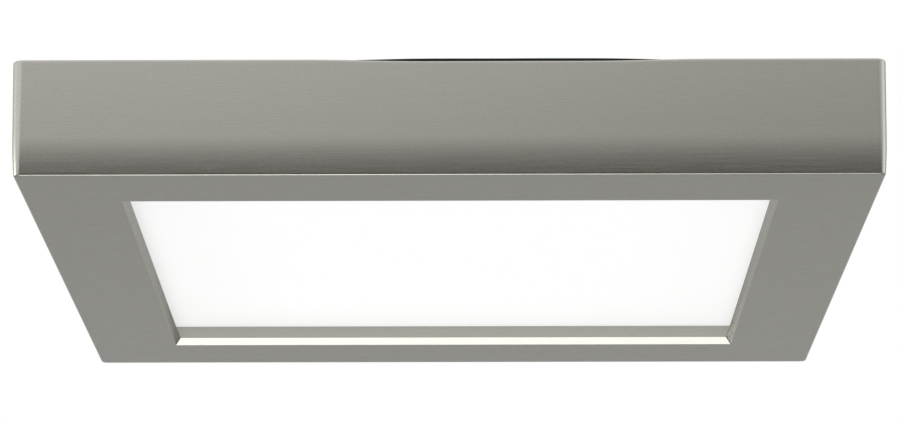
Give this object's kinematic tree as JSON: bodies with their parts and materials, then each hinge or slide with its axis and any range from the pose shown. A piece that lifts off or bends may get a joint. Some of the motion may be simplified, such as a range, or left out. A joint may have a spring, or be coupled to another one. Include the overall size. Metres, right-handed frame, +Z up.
{
  "type": "flush mount ceiling light",
  "caption": "Low square flush mount ceiling light: cast metal frame, recessed opal diffuser lit from its edges, driver and colour switch on its back, and a sprung mounting bracket.",
  "frame": {"origin": "centre of the mounting bracket's two box screw slots, on the ceiling plane", "axes": "+Z up into the ceiling, +X along the bracket to the right, +Y away from the viewer of the front side"},
  "size_m": [0.178, 0.178, 0.0251],
  "materials": {
    "brushed_nickel": "brushed nickel on cast metal, fine straight grain",
    "opal_acrylic": "opal white, satin",
    "clear_acrylic": "clear, polished edges",
    "white_film": "matt white",
    "grey_foam": "open cell foam",
    "black_foam": "closed cell foam",
    "lamp_phosphor": "phosphor filled resin",
    "white_wire": "smooth",
    "plate_aluminium": "rolled sheet",
    "zinc_screws": "zinc plated",
    "earth_green": "green dyed zinc",
    "driver_plastic": "moulded, fine texture",
    "board_laminate": "solder mask",
    "capacitor_sleeve": "shrunk sleeve",
    "film_epoxy": "dipped epoxy",
    "ferrite": "sintered",
    "chip_resin": "moulded resin",
    "terminal_nylon": "moulded",
    "winding_tape": "polyester tape",
    "black_nylon": "moulded",
    "black_rubber": "smooth",
    "red_lead": "extruded",
    "black_lead": "extruded",
    "selector_nylon": "moulded",
    "spring_steel": "bright rolled strip",
    "zinc_steel": "zinc plated sheet",
    "rail_aluminium": "extruded",
    "strip_mask": "white solder mask"
  },
  "bodies": {
    "bracket": {"mounting_bracket": "zinc_steel", "bracket_ground_screw": "earth_green"},
    "fixture": {"back_plate": "plate_aluminium", "back_plate_screws": "zinc_screws", "cct_switch_base": "black_nylon", "cct_switch_cover": "black_nylon", "ceiling_gasket": "black_foam", "clip_rivets": "zinc_screws", "diffuser": "opal_acrylic", "driver_base": "driver_plastic", "driver_board": "board_laminate", "driver_capacitors": "capacitor_sleeve", "driver_chips": "chip_resin", "driver_choke": "ferrite", "driver_cover": "driver_plastic", "driver_film_capacitor": "film_epoxy", "driver_screws": "zinc_screws", "driver_terminal": "terminal_nylon", "housing": "brushed_nickel", "lead_black": "black_lead", "lead_grommet": "black_rubber", "lead_red": "red_lead", "led_packages": "lamp_phosphor", "led_strip_back": "strip_mask", "led_strip_front": "strip_mask", "led_strip_left": "strip_mask", "led_strip_right": "strip_mask", "light_guide": "clear_acrylic", "plate_ground_screw": "earth_green", "pressure_pads": "grey_foam", "rail_back": "rail_aluminium", "rail_front": "rail_aluminium", "rail_left": "rail_aluminium", "rail_right": "rail_aluminium", "reflector": "white_film", "spring_clip_left": "spring_steel", "spring_clip_right": "spring_steel", "strip_jumpers": "white_wire", "supply_bushing": "black_nylon", "transformer_core": "ferrite", "transformer_winding": "winding_tape"},
    "selector": {"cct_selector": "selector_nylon"}
  },
  "joints": [
    {"name": "fixture_release", "type": "slide", "parent": "bracket", "child": "fixture", "axis": [0, 0, -1], "range_m": [0, 0.03], "deforming": ["spring_clip_left", "spring_clip_right"]},
    {"name": "selector_slide", "type": "slide", "parent": "fixture", "child": "selector", "axis": [0, 1, 0], "range_m": [-0.006, 0.006]}
  ]
}
